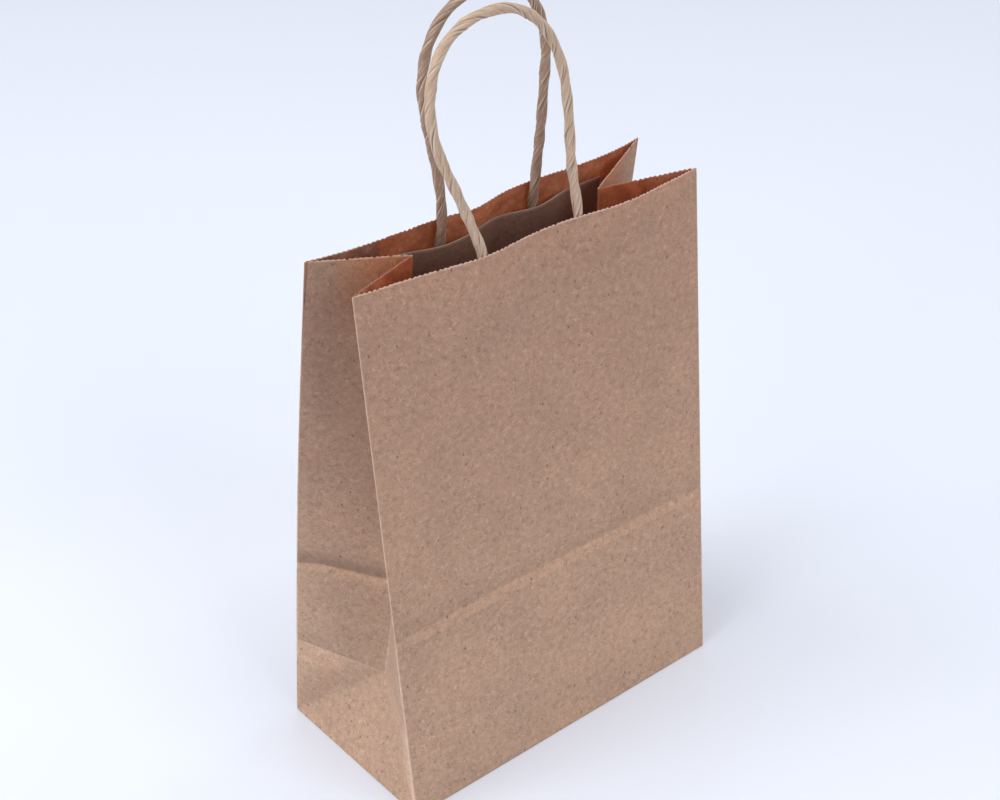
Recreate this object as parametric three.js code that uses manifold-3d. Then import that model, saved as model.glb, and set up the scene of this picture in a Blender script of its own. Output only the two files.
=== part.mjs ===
// A kraft paper carrier bag, standing open: one folded sheet, a reinforcing patch glued
// inside each wide panel, and two handles of twisted paper cord whose ends the patches hold.
// Millimetres, +Z up. The origin is the middle of the base, and the front panel faces -Y.
import * as THREE from 'three';
import Module from 'manifold-3d';

const wasm = await Module();
wasm.setup();

// The folded sheet
const width = 200;
const depth = 100;
const height = 280;
const paper = 0.18;
const seamWidth = 38;
const flapOverlap = 24;
const toothPitch = 2.5;
const toothDepth = 0.65;

// How far each upright fold has leant inwards at the top
const frontLeftLean = 41.3;
const frontRightLean = 32.8;
const backLeftLean = 24.6;
const backRightLean = 27;

// The crease that flat packing left all round, and the bowing of the wide panels above it
const creaseHeight = 100;
const creaseSink = 0.9;
const creaseBelow = 6;
const creaseAbove = 14;
const bowStart = 130;
const frontBow = 2.9;
const backBow = -5;
const frontWaves = [{ x: -33, out: 3.6, spread: 18 }, { x: 52, out: 3.5, spread: 18 }];
const backWaves = [{ x: -10, out: -3.2, spread: 9 }, { x: 28, out: 2, spread: 20 }];

// The twisted cord
const cordDiameter = 5.2;
const cordTurn = 24;
const cordLobes = 2;
const lobeSink = 0.16;
const cordSides = 8;
const cordStep = 2.5;

// The patches, and the clearance that glued pieces keep
const patchWidth = 150;
const patchHeight = 45;
const patchDrop = 11.5;
const patchX = -3;
const patchPlies = 2;
const cordInset = 8;
const tunnelSlope = 5.5;
const gap = 0.3;

// Each loop above the mouth, as x and the way up its own leaning plane
const frontLoop = [
  [-33, 0], [-37, 13], [-44, 32], [-51, 51], [-53.6, 66], [-51.5, 82], [-44, 95.5], [-31, 103.3],
  [-17, 105], [-4, 103], [8, 95.5], [17, 83], [21.8, 68], [23.3, 48], [23, 24], [25, 0],
];
const backLoop = [
  [-30, 0], [-31, 14], [-35, 34], [-39, 50], [-42, 70], [-39, 87], [-31, 99], [-18, 106],
  [-3, 108], [9, 104], [19, 96], [27, 83], [30.8, 68], [30.6, 50], [29.7, 27], [27.5, 0],
];
const frontLoopTilt = 8.5;
const backLoopTilt = 1;

const cordRadius = cordDiameter / 2;
const halfWidth = width / 2;
const halfDepth = depth / 2;
const seamEdge = seamWidth - halfWidth;
const patchLeft = patchX - patchWidth / 2;
const patchRight = patchX + patchWidth / 2;
const panelColumn = 11;
const gussetColumns = 4;
const tunnelSteps = 3;

const frontPanel = {
  side: -1, leftLean: frontLeftLean, rightLean: frontRightLean, bow: frontBow, waves: frontWaves,
  edges: [], loop: frontLoop, tilt: frontLoopTilt,
};
const backPanel = {
  side: 1, leftLean: backLeftLean, rightLean: backRightLean, bow: backBow, waves: backWaves,
  edges: [seamEdge], loop: backLoop, tilt: backLoopTilt,
};

const { lerp, smoothstep, degToRad } = THREE.MathUtils;

// How deep the packing crease is at a height along the paper: steep below, easy above
function creaseAt(s) {
  const reach = s < creaseHeight ? creaseBelow : creaseAbove;
  return creaseSink * Math.max(0, 1 - Math.abs(s - creaseHeight) / reach);
}

// A point on the outside of a wide panel, at x across and s up the paper from the base fold
function panelPoint(panel, x, s) {
  const lean = lerp(panel.leftLean, panel.rightLean, x / width + 0.5);
  const fade = 1 - Math.abs(x / halfWidth) ** 6;
  let bulge = panel.bow;
  for (const wave of panel.waves) {
    bulge += wave.out * Math.exp(-0.5 * ((x - wave.x) / wave.spread) ** 2);
  }
  const out = fade * (bulge * smoothstep(s, bowStart, height) - creaseAt(s));
  const y = panel.side * (halfDepth - lean * s / height + out);
  return new THREE.Vector3(x, y, s * Math.sqrt(1 - (lean / height) ** 2));
}

// The middle fold of a gusset, from the tip of the base triangle upwards
function gussetFold(side, s) {
  const inwardAt = (rise) => {
    const front = panelPoint(frontPanel, side * halfWidth, rise);
    const back = panelPoint(backPanel, side * halfWidth, rise);
    return Math.sqrt(Math.max(0, halfDepth ** 2 - (front.distanceTo(back) / 2) ** 2));
  };
  const tip = inwardAt(halfDepth);
  const inward = inwardAt(s);
  const tipZ = Math.sqrt(halfDepth ** 2 - tip ** 2);
  const front = panelPoint(frontPanel, side * halfWidth, s);
  const back = panelPoint(backPanel, side * halfWidth, s);
  const z = tipZ + Math.sqrt(Math.max(0, (s - halfDepth) ** 2 - (inward - tip) ** 2));
  return new THREE.Vector3(side * (halfWidth - inward), (front.y + back.y) / 2, z);
}

// A point on the outside of a gusset, at w across its paper from the front fold
function gussetPoint(side, w, s) {
  const front = panelPoint(frontPanel, side * halfWidth, s);
  const back = panelPoint(backPanel, side * halfWidth, s);
  if (s >= halfDepth) {
    const share = w / halfDepth;
    const fold = gussetFold(side, s);
    const point = share <= 1 ? front.lerp(fold, share) : fold.lerp(back, share - 1);
    const across = share <= 1 ? share : share - 1;
    point.x -= side * creaseAt(s) * 4 * across * (1 - across);
    return point;
  }
  const tip = gussetFold(side, halfDepth);
  const share = s / halfDepth;
  const frontDiagonal = panelPoint(frontPanel, side * halfWidth, 0).lerp(tip, share);
  const backDiagonal = panelPoint(backPanel, side * halfWidth, 0).lerp(tip, share);
  if (w < s) return front.lerp(frontDiagonal, w / s);
  if (w > depth - s) return backDiagonal.lerp(back, (w - depth + s) / s);
  return frontDiagonal.lerp(backDiagonal, (w - s) / (depth - 2 * s));
}

// Triangles on shared vertices; those that close up to nothing are left out
class Skin {
  constructor() {
    this.positions = [];
    this.triangles = [];
    this.known = new Map();
  }

  vertex(point) {
    const key = [point.x, point.y, point.z].map((value) => Math.round(value * 1e5)).join();
    if (!this.known.has(key)) {
      this.known.set(key, this.positions.length / 3);
      this.positions.push(point.x, point.y, point.z);
    }
    return this.known.get(key);
  }

  triangle(a, b, c) {
    if (a !== b && b !== c && c !== a) this.triangles.push(a, b, c);
  }

  quad(a, b, c, d) {
    this.triangle(a, b, c);
    this.triangle(a, c, d);
  }

  geometry() {
    const geometry = new THREE.BufferGeometry();
    geometry.setAttribute('position', new THREE.Float32BufferAttribute(this.positions, 3));
    geometry.setIndex(this.triangles);
    return geometry;
  }
}

function toSolid(geometry) {
  const vertProperties = Float32Array.from(geometry.attributes.position.array);
  const triVerts = Uint32Array.from(geometry.index.array);
  return new wasm.Manifold(new wasm.Mesh({ numProp: 3, vertProperties, triVerts }));
}

function fromSolid(solid) {
  const mesh = solid.getMesh();
  const skin = new Skin();
  const corner = (index) => {
    const at = index * mesh.numProp;
    return skin.vertex(new THREE.Vector3(...mesh.vertProperties.slice(at, at + 3)));
  };
  for (let at = 0; at < mesh.triVerts.length; at += 3) {
    skin.triangle(...[0, 1, 2].map((step) => corner(mesh.triVerts[at + step])));
  }
  return skin.geometry();
}

// Even stops from one value to another, both included
function stops(from, to, count) {
  return Array.from({ length: count + 1 }, (unused, index) => lerp(from, to, index / count));
}

// Half the width of the tunnel that a patch makes over a cord
const tunnelReach = cordRadius + tunnelSlope;

// A wide panel's columns from one x to another: the ends and the middle of its patch, the
// tunnel over each cord and the seam's edge, with even ones between them
function panelColumns(panel, from, to) {
  const legs = [panel.loop[0][0], panel.loop.at(-1)[0]];
  const tunnels = legs.flatMap((leg) => stops(leg - tunnelReach, leg + tunnelReach, 2 * tunnelSteps));
  const fixed = [-halfWidth, patchLeft, patchX, patchRight, halfWidth, ...panel.edges, ...tunnels];
  fixed.sort((a, b) => a - b);
  const columns = fixed.slice(1).flatMap((end, index) => {
    const count = Math.max(1, Math.round((end - fixed[index]) / panelColumn));
    return stops(fixed[index], end, count).slice(1);
  });
  return [-halfWidth, ...columns].filter((x) => x >= from - paper && x <= to + paper);
}

// The runs of paper met on the way round the bag, seen from above against the clock:
// each has coarse stops for the wall and fine stops for the teeth of the cut edge
function sheetRuns() {
  const fine = (from, to) => stops(from, to, 2 * Math.round(Math.abs(to - from) / toothPitch));
  const onFront = (x, s) => panelPoint(frontPanel, x, s);
  const onBack = (x, s) => panelPoint(backPanel, x, s);
  return [
    { at: onFront, lift: 0, coarse: panelColumns(frontPanel, -halfWidth, halfWidth),
      fine: fine(-halfWidth, halfWidth) },
    { at: (w, s) => gussetPoint(1, w, s), lift: 0, coarse: stops(0, depth, gussetColumns),
      fine: fine(0, depth) },
    { at: onBack, lift: 0, coarse: panelColumns(backPanel, seamEdge, halfWidth).reverse(),
      fine: fine(halfWidth, seamEdge) },
    { at: onBack, lift: paper, coarse: panelColumns(backPanel, -halfWidth, seamEdge).reverse(),
      fine: fine(seamEdge, -halfWidth) },
    { at: (w, s) => gussetPoint(-1, w, s), lift: 0, coarse: stops(depth, 0, gussetColumns),
      fine: fine(depth, 0) },
  ];
}

// The heights along the paper at which the wall is shaped
function wallRows() {
  const patchTop = height - patchDrop;
  const patchFoot = patchTop - patchHeight;
  const crease = [creaseHeight - creaseBelow, creaseHeight, creaseHeight + creaseAbove];
  const plain = stops(creaseHeight + creaseAbove, patchFoot, 4).slice(1, -1);
  const foot = [0, halfDepth / 2, halfDepth];
  return [...foot, ...crease, ...plain, ...patchRows(patchFoot, patchTop), height - patchDrop / 2];
}

function patchRows(foot, top) {
  return [foot, foot + cordInset / 2, foot + cordInset * 0.9, (foot + top) / 2, top];
}

// The outward offset to the paper's inner face at each point of a closed section
function innerRing(ring) {
  const count = ring.length;
  const apart = (a, b) => Math.hypot(a.x - b.x, a.y - b.y) > 1e-6;
  const neighbour = (from, step) => {
    let index = (from + step + count) % count;
    while (!apart(ring[index], ring[from])) index = (index + step + count) % count;
    return ring[index];
  };
  const outward = (a, b) => new THREE.Vector2(b.y - a.y, a.x - b.x).normalize();
  return ring.map((point, index) => {
    const before = outward(neighbour(index, -1), point);
    const after = outward(point, neighbour(index, 1));
    const mitre = before.clone().add(after).multiplyScalar(paper / (1 + before.dot(after)));
    return new THREE.Vector3(point.x - mitre.x, point.y - mitre.y, point.z);
  });
}

// The vertices of one section: every run's stops at their heights, outside and inside
function section(skin, runs, stopsOf, heightOf) {
  const ring = runs.flatMap((run) => stopsOf(run).map((stop, index) => run.at(stop, heightOf(index))));
  const lifts = runs.flatMap((run) => stopsOf(run).map(() => run.lift));
  const inner = innerRing(ring).map((point) => skin.vertex(point));
  const outer = ring.map((point, index) => {
    return skin.vertex(new THREE.Vector3(point.x, point.y + lifts[index], point.z));
  });
  return { inner, outer };
}

// Joins a coarse row of stops to a fine one along each run, like a zip
function zip(skin, runs, low, high) {
  const join = (lowRow, highRow, flip) => {
    const face = (a, b, c) => (flip ? skin.triangle(a, c, b) : skin.triangle(a, b, c));
    let lowAt = 0;
    let highAt = 0;
    for (const run of runs) {
      const share = (list, index) => (list[index] - list[0]) / (list.at(-1) - list[0]);
      const lowEnd = run.coarse.length - 1;
      const highEnd = run.fine.length - 1;
      let i = 0;
      let j = 0;
      while (i < lowEnd || j < highEnd) {
        const lowNext = i < lowEnd ? share(run.coarse, i + 1) : Infinity;
        const highNext = j < highEnd ? share(run.fine, j + 1) : Infinity;
        if (highNext <= lowNext) {
          face(lowRow[lowAt + i], highRow[highAt + j + 1], highRow[highAt + j]);
          j += 1;
        } else {
          face(lowRow[lowAt + i], lowRow[lowAt + i + 1], highRow[highAt + j]);
          i += 1;
        }
      }
      lowAt += lowEnd;
      highAt += highEnd;
      const lowNext = (lowAt + 1) % lowRow.length;
      const highNext = (highAt + 1) % highRow.length;
      face(lowRow[lowAt], lowRow[lowNext], highRow[highAt]);
      face(lowRow[lowNext], highRow[highNext], highRow[highAt]);
      lowAt += 1;
      highAt += 1;
    }
  };
  join(low.outer, high.outer, false);
  join(low.inner, high.inner, true);
}

function rim(skin, row, flip) {
  row.outer.forEach((outer, index) => {
    const next = (index + 1) % row.outer.length;
    const corners = [outer, row.outer[next], row.inner[next], row.inner[index]];
    skin.quad(...(flip ? corners.reverse() : corners));
  });
}

// The wall of the bag: the four sides with their folds, the glued seam and the cut top edge
function wallGeometry() {
  const skin = new Skin();
  const runs = sheetRuns();
  const rows = wallRows().map((s) => section(skin, runs, (run) => run.coarse, () => s));
  rows.slice(1).forEach((row, index) => {
    const below = rows[index];
    row.outer.forEach((upper, at) => {
      const next = (at + 1) % row.outer.length;
      skin.quad(below.outer[at], below.outer[next], row.outer[next], upper);
      skin.quad(below.inner[at], row.inner[at], row.inner[next], below.inner[next]);
    });
  });
  const toothHeight = (index) => (index % 2 ? height : height - toothDepth);
  const teeth = section(skin, runs, (run) => run.fine, toothHeight);
  zip(skin, runs, rows.at(-1), teeth);
  rim(skin, teeth, false);
  rim(skin, rows[0], true);
  return skin.geometry();
}

// Flat plies of the base, from their outline, with their underside at a height
function ply(outline, z, plies = 1) {
  const shape = new THREE.Shape(outline.map(([x, y]) => new THREE.Vector2(x, y)));
  const overlap = paper / 8;
  const layers = new THREE.ExtrudeGeometry(shape, { depth: plies * paper + overlap, bevelEnabled: false });
  layers.translate(0, 0, z - overlap);
  const skin = new Skin();
  const place = layers.attributes.position;
  const corner = (index) => skin.vertex(new THREE.Vector3().fromBufferAttribute(place, index));
  for (let at = 0; at < place.count; at += 3) skin.triangle(corner(at), corner(at + 1), corner(at + 2));
  return skin.geometry();
}

// The block bottom: the ends tucked in double, then the back flap, and the front flap outermost
function basePlies() {
  const edgeX = halfWidth - 2 * paper;
  const edgeY = halfDepth - paper;
  const reach = halfDepth + flapOverlap / 2;
  const flap = (side) => {
    const free = side * (edgeY - reach);
    const shoulder = edgeX - reach;
    return [[-edgeX, side * edgeY], [edgeX, side * edgeY], [shoulder, free], [-shoulder, free]];
  };
  const tuck = (side) => {
    const near = side * (edgeX - reach);
    return [[side * edgeX, -edgeY], [side * edgeX, edgeY], [near, edgeY], [near, -edgeY]];
  };
  const flaps = [ply(flap(-1), paper / 8), ply(flap(1), paper)];
  return [...flaps, ply(tuck(-1), paper, 2), ply(tuck(1), paper, 2)];
}

function foldedSheet() {
  let solid = toSolid(wallGeometry());
  for (const geometry of basePlies()) solid = solid.add(toSolid(geometry));
  return fromSolid(solid);
}

// A point inside the bag, off a wide panel's inner face
function insidePanel(panel, x, s, off) {
  const point = panelPoint(panel, x, s);
  point.y -= panel.side * (paper + off);
  return point;
}

// How far the patch arches over the cords at a place on the panel
function archAt(panel, x, s) {
  const foot = height - patchDrop - patchHeight;
  const legs = [panel.loop[0][0], panel.loop.at(-1)[0]];
  const away = Math.min(...legs.map((leg) => Math.abs(x - leg)));
  const across = Math.min(1, away / tunnelReach);
  const peak = cordDiameter + 4 * gap;
  return peak * 0.5 * (1 + Math.cos(Math.PI * across)) * smoothstep(s, foot, foot + cordInset * 0.9);
}

// A reinforcing patch: a folded strip that lies on the panel and arches over the cord ends
function patchGeometry(panel) {
  const skin = new Skin();
  const top = height - patchDrop;
  const columns = panelColumns(panel, patchLeft, patchRight);
  const thick = patchPlies * paper;
  const grid = patchRows(top - patchHeight, top).map((s) => columns.map((x) => {
    const off = gap + archAt(panel, x, s);
    return [off, off + thick].map((rise) => skin.vertex(insidePanel(panel, x, s, rise)));
  }));
  const flip = panel.side > 0;
  const quad = (a, b, c, d) => (flip ? skin.quad(d, c, b, a) : skin.quad(a, b, c, d));
  const last = columns.length - 1;
  const rows = grid.length - 1;
  for (let row = 0; row < rows; row += 1) {
    for (let column = 0; column < last; column += 1) {
      const [a, b] = [grid[row][column], grid[row][column + 1]];
      const [c, d] = [grid[row + 1][column + 1], grid[row + 1][column]];
      quad(a[0], b[0], c[0], d[0]);
      quad(a[1], d[1], c[1], b[1]);
    }
    quad(grid[row][0][1], grid[row][0][0], grid[row + 1][0][0], grid[row + 1][0][1]);
    quad(grid[row][last][0], grid[row][last][1], grid[row + 1][last][1], grid[row + 1][last][0]);
  }
  for (let column = 0; column < last; column += 1) {
    quad(grid[0][column + 1][0], grid[0][column][0], grid[0][column][1], grid[0][column + 1][1]);
    quad(grid[rows][column][0], grid[rows][column + 1][0], grid[rows][column + 1][1], grid[rows][column][1]);
  }
  return skin.geometry();
}

// The cord's centre line: up out of the patch, round the loop and down again
function cordRoute(panel) {
  const foot = height - patchDrop - patchHeight + cordInset;
  const leg = (x) => stops(foot, height, 3).slice(0, -1)
    .map((s) => insidePanel(panel, x, s, gap + cordRadius));
  const tilt = degToRad(panel.tilt);
  const [left, right] = [panel.loop[0][0], panel.loop.at(-1)[0]];
  const mouths = [left, right].map((x) => insidePanel(panel, x, height, gap + cordRadius));
  const loop = panel.loop.map(([x, up]) => {
    const share = THREE.MathUtils.clamp((x - left) / (right - left), 0, 1);
    const mouth = mouths[0].clone().lerp(mouths[1], share);
    const y = mouth.y - panel.side * up * Math.sin(tilt);
    return new THREE.Vector3(x, y, mouth.z + up * Math.cos(tilt));
  });
  return new THREE.CatmullRomCurve3([...leg(left), ...loop, ...leg(right).reverse()]);
}

// Twisted paper cord: a lobed section that turns as it goes along the route
function cordGeometry(panel) {
  const route = cordRoute(panel);
  const length = route.getLength();
  const count = Math.round(length / cordStep);
  const centres = route.getSpacedPoints(count);
  const frames = route.computeFrenetFrames(count, false);
  const skin = new Skin();
  const rings = centres.map((centre, index) => stops(0, 2 * Math.PI, cordSides).slice(0, -1).map((angle) => {
    const turn = 2 * Math.PI * index * length / count / cordTurn;
    const radius = cordRadius * (1 - lobeSink * 0.5 * (1 - Math.cos(cordLobes * angle - turn)));
    const point = centre.clone().addScaledVector(frames.normals[index], radius * Math.cos(angle));
    return skin.vertex(point.addScaledVector(frames.binormals[index], radius * Math.sin(angle)));
  }));
  for (let index = 0; index < count; index += 1) {
    const [near, far] = [rings[index], rings[index + 1]];
    near.forEach((corner, side) => {
      const next = (side + 1) % cordSides;
      skin.quad(corner, near[next], far[next], far[side]);
    });
  }
  const start = skin.vertex(centres[0]);
  const end = skin.vertex(centres[count]);
  for (let side = 0; side < cordSides; side += 1) {
    const next = (side + 1) % cordSides;
    skin.triangle(start, rings[0][next], rings[0][side]);
    skin.triangle(end, rings[count][side], rings[count][next]);
  }
  return skin.geometry();
}

const sheetPaper = new THREE.MeshStandardMaterial({
  color: 0xae8f7a, roughness: 0.85, metalness: 0, side: THREE.DoubleSide,
});
const patchPaper = new THREE.MeshStandardMaterial({ color: 0xa08068, roughness: 0.85, metalness: 0 });
const cordPaper = new THREE.MeshStandardMaterial({ color: 0xb5a08c, roughness: 0.8, metalness: 0 });

function piece(name, geometry, material) {
  const mesh = new THREE.Mesh(geometry, material);
  mesh.name = name;
  return mesh;
}

const bag = new THREE.Group();
bag.add(
  piece('folded_sheet', foldedSheet(), sheetPaper),
  piece('front_handle_patch', patchGeometry(frontPanel), patchPaper),
  piece('back_handle_patch', patchGeometry(backPanel), patchPaper),
  piece('front_handle', cordGeometry(frontPanel), cordPaper),
  piece('back_handle', cordGeometry(backPanel), cordPaper),
);

export default bag;
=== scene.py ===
"""A kraft paper carrier bag, standing open with nothing in it.

The bag is made as the real one is. A flat blank of kraft paper is scored along its mitres,
folded round into a tube with side gussets and a block bottom, and given its thickness. A folded
strip of the same paper is glued inside each wide panel, over the two ends of a twisted cord.
"""

import logging
import math
from dataclasses import dataclass
from enum import Enum
from typing import Iterable, Sequence

import bmesh
import bpy
from mathutils import Matrix, Vector, noise


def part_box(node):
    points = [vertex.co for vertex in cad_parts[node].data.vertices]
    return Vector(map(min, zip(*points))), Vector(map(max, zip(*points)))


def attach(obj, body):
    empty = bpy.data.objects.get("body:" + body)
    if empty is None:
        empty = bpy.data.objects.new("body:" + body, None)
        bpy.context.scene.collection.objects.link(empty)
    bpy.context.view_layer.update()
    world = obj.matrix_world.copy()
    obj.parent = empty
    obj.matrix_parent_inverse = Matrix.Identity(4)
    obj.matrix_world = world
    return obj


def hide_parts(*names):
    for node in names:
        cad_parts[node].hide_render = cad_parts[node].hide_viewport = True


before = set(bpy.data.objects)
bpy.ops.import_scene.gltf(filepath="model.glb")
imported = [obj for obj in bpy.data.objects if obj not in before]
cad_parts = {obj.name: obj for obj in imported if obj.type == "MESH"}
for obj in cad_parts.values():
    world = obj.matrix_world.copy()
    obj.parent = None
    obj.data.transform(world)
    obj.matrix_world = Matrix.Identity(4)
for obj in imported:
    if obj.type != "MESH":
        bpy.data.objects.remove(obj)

MM = 0.001
BODY = "root"
WHITE = (1.0, 1.0, 1.0)
TINY = 1e-4
SENSOR = 36.0

log = logging.getLogger("bag")


def lerp(low: float, high: float, share: float) -> float:
    """Returns the value a share of the way from low to high."""
    return low + (high - low) * share


def ramp(value: float, start: float, end: float) -> float:
    """Returns 0 up to start and 1 from end on, with an easy rise between them."""
    share = min(1.0, max(0.0, (value - start) / (end - start)))
    return share * share * (3 - 2 * share)


def stops(start: float, end: float, step: float) -> list[float]:
    """Returns even values from start to end, both included, about a step apart."""
    count = max(1, round(abs(end - start) / step))
    return [lerp(start, end, index / count) for index in range(count + 1)]


class Face(Enum):
    """The two wide panels, by the sign of the way they face along Y."""

    FRONT = -1
    BACK = 1


class Flank(Enum):
    """The two gusseted sides, by the sign of the way they face along X."""

    LEFT = -1
    RIGHT = 1


@dataclass(frozen=True)
class Wave:
    """A soft upright swell in a wide panel.

    Attributes:
        x: Where its crest is, in millimetres.
        out: How far it stands out at the mouth, in millimetres.
        spread: How wide it is, in millimetres.
    """

    x: float
    out: float
    spread: float


@dataclass(frozen=True)
class Panel:
    """A wide panel: how it has leant and bowed, and the loop of cord that it carries.

    Attributes:
        face: Which panel it is.
        lean_left: How far its left fold has leant in at the mouth, in millimetres.
        lean_right: The same for its right fold.
        bow: How far the mouth bows out between the folds.
        belly: How far its left fold stands out half way up.
        waves: The swells along the mouth.
        loop: The cord's centre above the mouth, as x and the way up the loop's plane.
        tilt: How far the loop's plane leans in, in degrees.
    """

    face: Face
    lean_left: float
    lean_right: float
    bow: float
    waves: tuple[Wave, ...]
    loop: tuple[tuple[float, float], ...]
    tilt: float
    belly: float = 0.0

    @property
    def side(self) -> str:
        """Returns the panel's name, as the names of its pieces begin."""
        return self.face.name.lower()

    @property
    def legs(self) -> tuple[float, float]:
        """Returns the x of the two places where the cord leaves the mouth."""
        return self.loop[0][0], self.loop[-1][0]


FRONT = Panel(
    face=Face.FRONT, lean_left=41.3, lean_right=32.8, bow=2.9,
    waves=(Wave(-33, 3.6, 18), Wave(52, 3.5, 18)),
    loop=(
        (-33, 0), (-37, 13), (-44, 32), (-51, 51), (-53.6, 66), (-51.5, 82), (-44, 95.5), (-31, 103.3),
        (-17, 105), (-4, 103), (8, 95.5), (17, 83), (21.8, 68), (23.3, 48), (23, 24), (25, 0),
    ),
    tilt=8.5,
)
BACK = Panel(
    face=Face.BACK, lean_left=24.6, lean_right=27, bow=-5,
    waves=(Wave(-10, -3.2, 9), Wave(28, 2, 20)),
    loop=(
        (-30, 0), (-31, 14), (-35, 34), (-39, 50), (-42, 70), (-39, 87), (-31, 99), (-18, 106),
        (-3, 108), (9, 104), (19, 96), (27, 83), (30.8, 68), (30.6, 50), (29.7, 27), (27.5, 0),
    ),
    tilt=1,
    belly=2.6,
)


@dataclass(frozen=True)
class Shape:
    """The form of the opened bag, in millimetres: where any point of the blank comes to lie.

    The blank is measured by the way round, from the free edge of the seam, and by the height
    above the base fold. What lies below 0 is folded under as the bottom.
    """

    width: float
    depth: float
    height: float = 280
    paper: float = 0.18
    seam: float = 38
    bottom: float = 62
    tooth_depth: float = 0.85
    crease: float = 101.2
    crease_below: float = 5
    crease_above: float = 14
    panel_sink: float = 1.7
    gusset_sink: float = 3.6
    low_puff: float = 2.6
    high_puff: float = 1.3
    score_sink: float = 0.45
    score_reach: float = 1.0
    bow_start: float = 130
    fold_radius: float = 0.55
    ply_gap: float = 0.03
    ply_ramp: float = 3
    flap_ramp: float = 6
    seam_gap: float = 0.05
    seam_stop: float = 0.7
    seam_tuck: float = 0.6
    relief: float = 0.34
    relief_run: tuple[float, float] = (46, 62)
    fine_relief: float = 0.07
    fine_run: tuple[float, float] = (17, 21)

    @property
    def half_width(self) -> float:
        """Returns half the width of a wide panel."""
        return self.width / 2

    @property
    def half_depth(self) -> float:
        """Returns half the depth of the bag, which is how far a gusset could fold in."""
        return self.depth / 2

    @property
    def folds(self) -> tuple[float, ...]:
        """Returns where the upright folds are, by the way round."""
        corner = self.seam
        places = [corner]
        for run in (self.half_depth, self.half_depth, self.width, self.half_depth, self.half_depth):
            corner += run
            places.append(corner)
        return tuple(places)

    @property
    def inner_seam(self) -> float:
        """Returns the way round at which the inner layer of the seam begins."""
        return 2 * (self.width + self.depth)

    @property
    def around(self) -> float:
        """Returns the length of the blank, the seam's overlap included."""
        return self.seam + self.inner_seam - self.seam_stop

    @property
    def middles(self) -> tuple[float, float]:
        """Returns where the middle folds of the gussets are, by the way round."""
        return self.folds[1], self.folds[4]

    def crease_at(self, s: float) -> float:
        """Returns how deep the packing crease is at a height, as a share: steep below, easy above."""
        if s < self.crease:
            return max(0.0, 1 - (self.crease - s) / self.crease_below)
        return max(0.0, 1 - (s - self.crease) / self.crease_above) ** 1.5

    def score_at(self, s: float) -> float:
        """Returns how deep the lower score line is at a height, as a share."""
        return max(0.0, 1 - abs(s - self.half_depth) / self.score_reach)

    def puff_at(self, away: float, s: float) -> float:
        """Works out how the paper of a gusset swells beside its outer folds, below the crease.

        Args:
            away: How far the nearest outer fold is.
            s: The height.

        Returns:
            How far it swells out, in millimetres.
        """
        half = self.half_depth
        run = min(s, half)
        if away >= run:
            return 0.0
        share = away / run
        skewed = 27 / 4 * share * (1 - share) ** 2
        if s < half:
            return self.low_puff * skewed * min(1.0, s / 24) * ramp(half - s, 0, 11)
        top = self.crease - self.crease_below
        return self.high_puff * skewed * ramp(s, half, half + 12) * ramp(top - s, 0, 9)

    def relief_at(self, place: float, s: float, edge: float, key: float) -> float:
        """Works out the small unevenness of handled paper.

        Args:
            place: The way across the panel.
            s: The height.
            edge: How far the nearest upright fold is.
            key: A number that keeps the panels unlike each other.

        Returns:
            How far the paper stands out, in millimetres.
        """
        calm = ramp(edge, 0, 14) * ramp(s, 2, 30)
        broad = noise.noise(Vector((place / self.relief_run[0], s / self.relief_run[1], key)))
        fine = noise.noise(Vector((place / self.fine_run[0], s / self.fine_run[1], key + 7)))
        return calm * (self.relief * 2 * broad + self.fine_relief * 2 * fine)

    def panel_point(self, panel: Panel, x: float, s: float) -> Vector:
        """Places a point on the outside of a wide panel.

        Args:
            panel: Which panel.
            x: The way across, from the middle.
            s: The height along the paper.

        Returns:
            The point.
        """
        lean = lerp(panel.lean_left, panel.lean_right, x / self.width + 0.5)
        fade = 1 - min(1.0, abs(x / self.half_width)) ** 6
        swell = panel.bow
        for wave in panel.waves:
            swell += wave.out * math.exp(-0.5 * ((x - wave.x) / wave.spread) ** 2)
        out = fade * (swell * ramp(s, self.bow_start, self.height) - self.panel_sink * self.crease_at(s))
        out += self.relief_at(x, s, self.half_width - abs(x), 3.7 * panel.face.value)
        out += panel.belly * (0.5 - x / self.width) * math.sin(math.pi * min(1.0, s / self.height))
        y = panel.face.value * (self.half_depth - lean * s / self.height + out)
        return Vector((x, y, s * math.sqrt(1 - (lean / self.height) ** 2)))

    def inward(self, flank: Flank, s: float) -> float:
        """Returns how far the middle fold of a gusset is drawn in at a height."""
        edge = flank.value * self.half_width
        apart = (self.panel_point(FRONT, edge, s) - self.panel_point(BACK, edge, s)).length
        return math.sqrt(max(0.0, self.half_depth**2 - (apart / 2) ** 2))

    def middle_fold(self, flank: Flank, s: float) -> Vector:
        """Places a point on the middle fold of a gusset, from the base triangle's tip upwards."""
        tip, inward = self.inward(flank, self.half_depth), self.inward(flank, s)
        edge = flank.value * self.half_width
        front, back = self.panel_point(FRONT, edge, s), self.panel_point(BACK, edge, s)
        rise = math.sqrt(max(0.0, (s - self.half_depth) ** 2 - (inward - tip) ** 2))
        z = math.sqrt(self.half_depth**2 - tip**2) + rise
        return Vector((flank.value * (self.half_width - inward), (front.y + back.y) / 2, z))

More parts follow.
